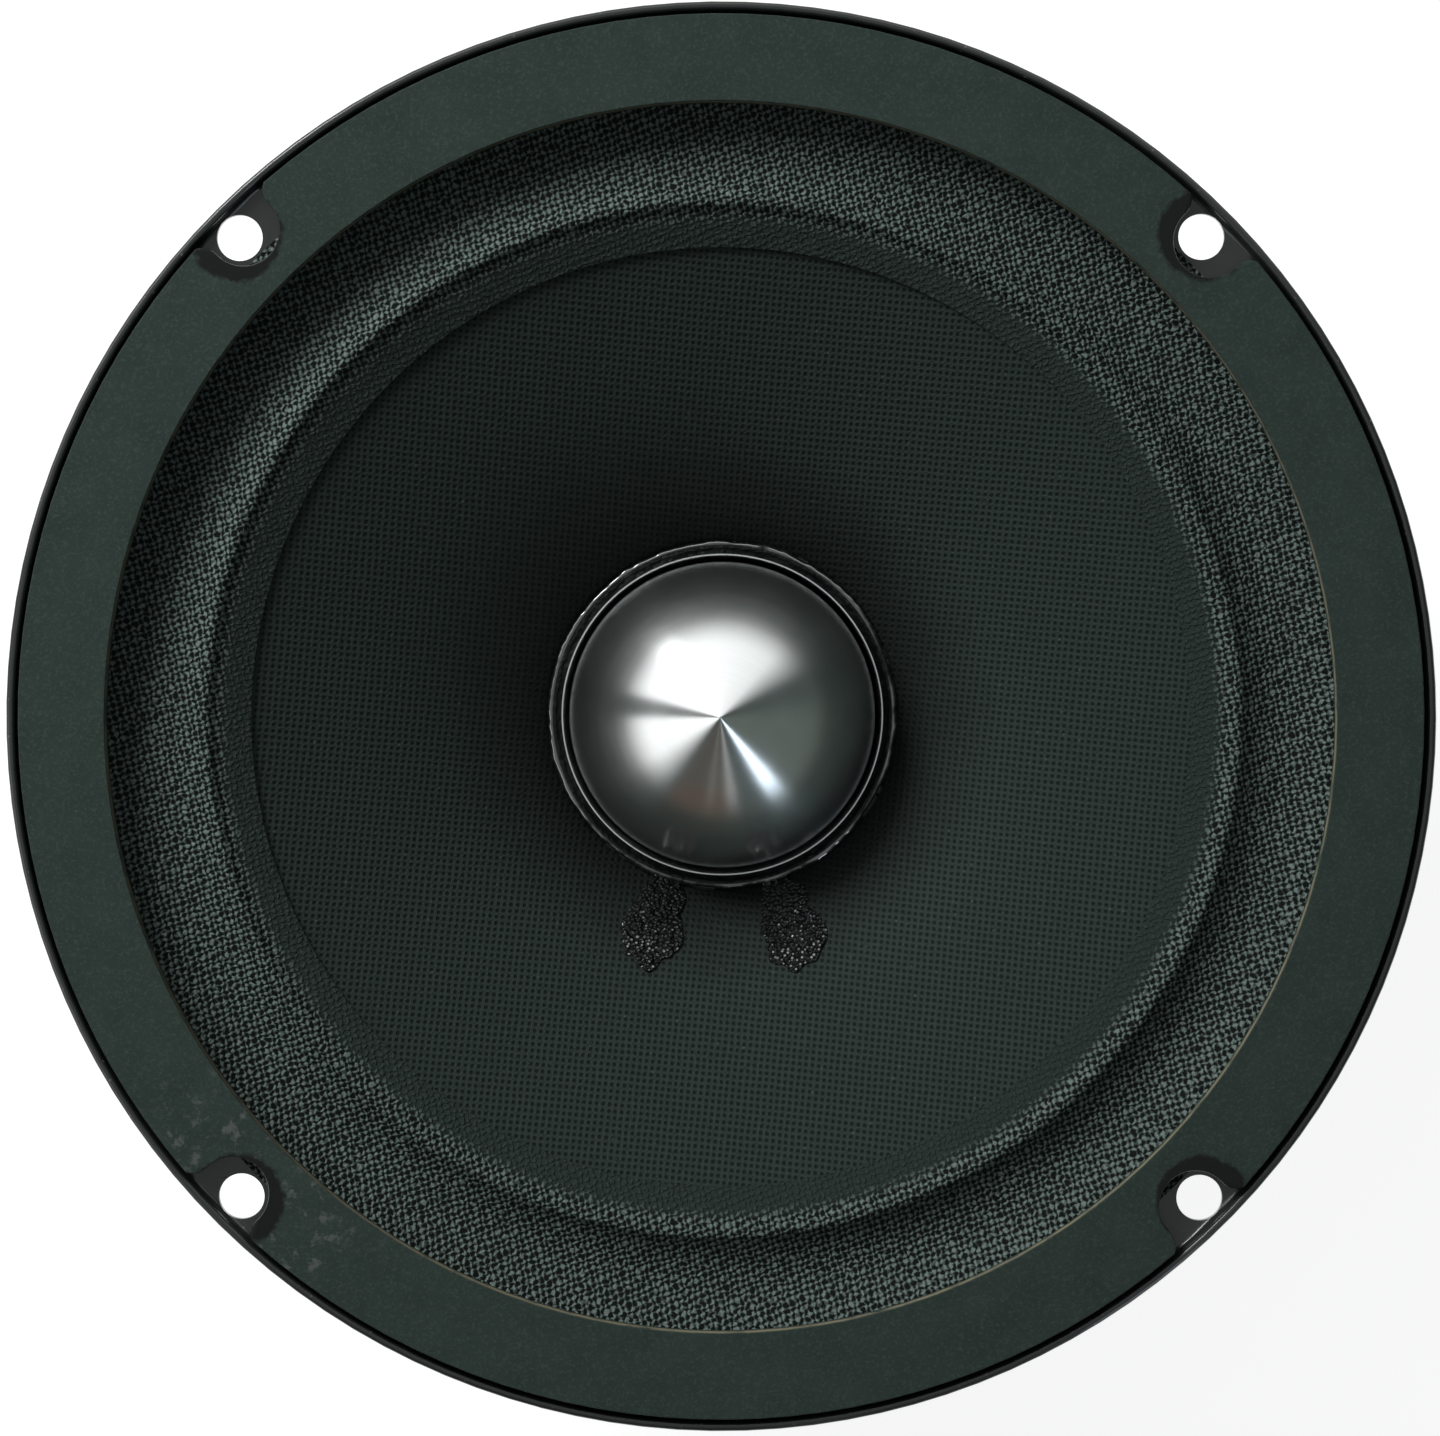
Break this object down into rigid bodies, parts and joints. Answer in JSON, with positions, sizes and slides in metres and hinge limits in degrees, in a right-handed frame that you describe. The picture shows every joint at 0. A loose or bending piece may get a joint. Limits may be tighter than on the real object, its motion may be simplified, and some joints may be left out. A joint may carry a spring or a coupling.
{
  "type": "midrange loudspeaker driver",
  "caption": "Round car loudspeaker driver with a pressed black basket, fibre gasket, woven cloth edge, flared woven cone, fixed aluminium bullet and ferrite magnet.",
  "frame": {"origin": "on the axis, in the flange's rear seating face, so the parts behind the flange have negative Z", "axes": "+Z along the axis, out of the front of the cone; +Y away from the terminals; +X to the right when the driver is seen from the front with its terminals at the bottom"},
  "size_m": [0.165, 0.165, 0.071],
  "materials": {
    "basket_paint": "gloss black paint",
    "gasket_fibre": "matt, dark greenish grey",
    "cone_paper": "matt, woven texture, nearly black",
    "edge_cloth": "coated weave, dark grey",
    "spider_cloth": "resin-stiffened weave, amber",
    "bullet_aluminium": "spun",
    "former_aluminium": "rolled foil",
    "plated_steel": "zinc plated",
    "tinned_brass": "tinned",
    "yellow_brass": "bare",
    "coil_copper": "enamelled copper wire",
    "plate_steel": "black phosphated steel",
    "ferrite": "ground, dark grey",
    "black_glue": "gloss",
    "collar_paper": "kraft",
    "board_fibre": "laminated phenolic board",
    "tinsel_braid": "tinned braid",
    "solder": "dull tin"
  },
  "bodies": {
    "chassis": {"basket": "basket_paint", "gasket": "gasket_fibre", "top_plate": "plate_steel", "magnet": "ferrite", "yoke": "plate_steel", "phase_plug": "bullet_aluminium", "plug_screw": "plated_steel", "basket_rivets": "plated_steel", "terminal_board": "board_fibre", "board_rivets": "plated_steel", "terminal_positive": "tinned_brass", "terminal_negative": "tinned_brass", "terminal_rivets": "yellow_brass", "solder_joints": "solder"},
    "cone_assembly": {"cone": "cone_paper", "surround": "edge_cloth", "spider": "spider_cloth", "voice_coil_former": "former_aluminium", "coil_collar": "collar_paper", "coil_winding": "coil_copper", "coil_leadouts": "coil_copper", "neck_glue": "black_glue", "spider_glue": "black_glue", "lead_eyelets": "yellow_brass", "lead_glue_patches": "black_glue", "tinsel_lead_positive": "tinsel_braid", "tinsel_lead_negative": "tinsel_braid"}
  },
  "joints": [
    {"name": "cone_travel", "type": "slide", "parent": "chassis", "child": "cone_assembly", "axis": [0, 0, 1], "range_m": [-0.004, 0.004], "stiffness_N_per_m": 3000, "deforming": ["surround", "spider", "tinsel_lead_positive", "tinsel_lead_negative"]}
  ]
}
